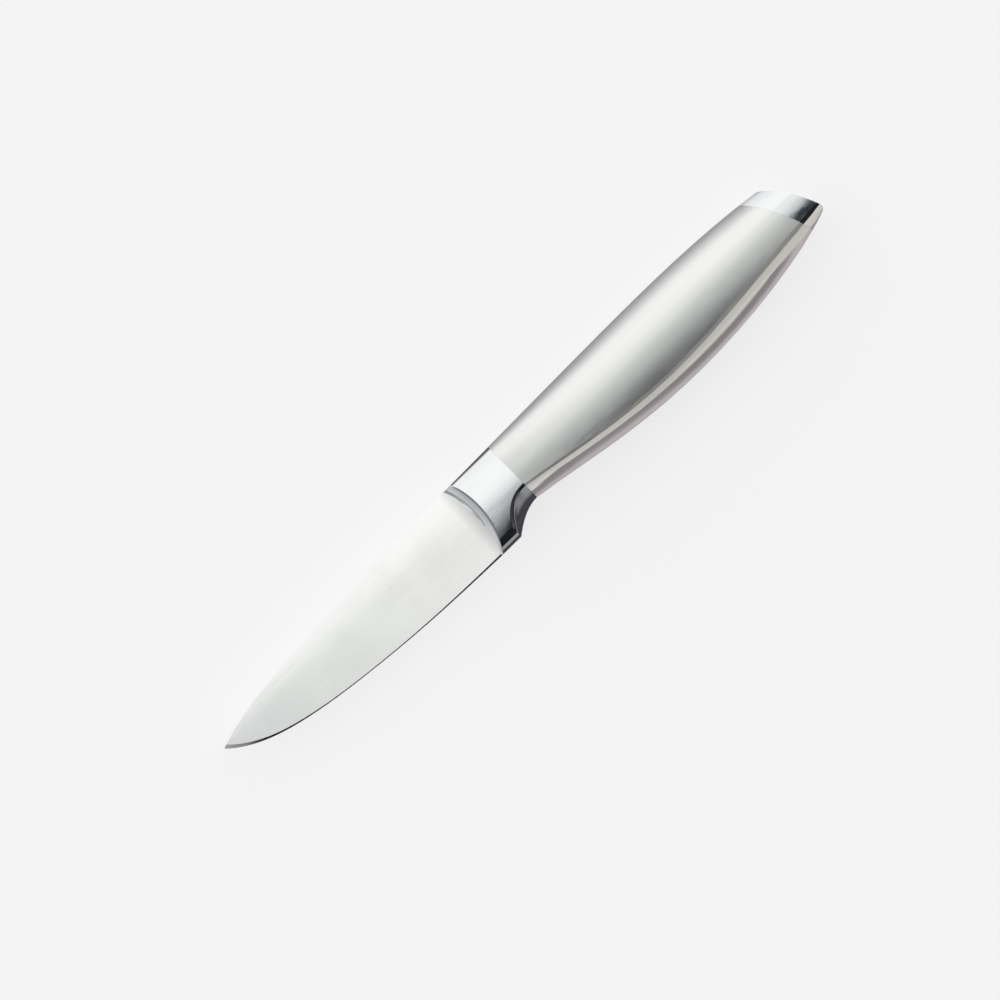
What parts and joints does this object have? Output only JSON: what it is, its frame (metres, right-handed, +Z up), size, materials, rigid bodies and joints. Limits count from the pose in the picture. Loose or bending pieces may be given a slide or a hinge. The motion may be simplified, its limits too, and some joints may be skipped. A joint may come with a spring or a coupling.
{
  "type": "paring knife",
  "caption": "Small kitchen paring knife with a pointed flat-ground blade, a coved steel bolster with a curved finger rest and a smooth hollow steel handle closed by a raked end cap.",
  "frame": {"origin": "middle of the bottom of the bounding box, with the knife lying on its right flank and its centre plane level", "axes": "+X from the blade tip to the butt of the handle, +Y from the cutting edge to the spine, +Z up out of the left flank, which is the one seen in the picture"},
  "size_m": [0.2014, 0.0242, 0.017],
  "materials": {
    "blade_steel": "satin",
    "polished_steel": "polished",
    "satin_steel": "satin",
    "inner_steel": "matte"
  },
  "bodies": {
    "root": {"blade": "blade_steel", "bolster": "polished_steel", "handle_shell_left": "satin_steel", "handle_shell_right": "satin_steel", "end_cap": "polished_steel", "tang": "inner_steel", "tang_collar": "inner_steel", "balance_weight": "inner_steel"}
  },
  "joints": []
}
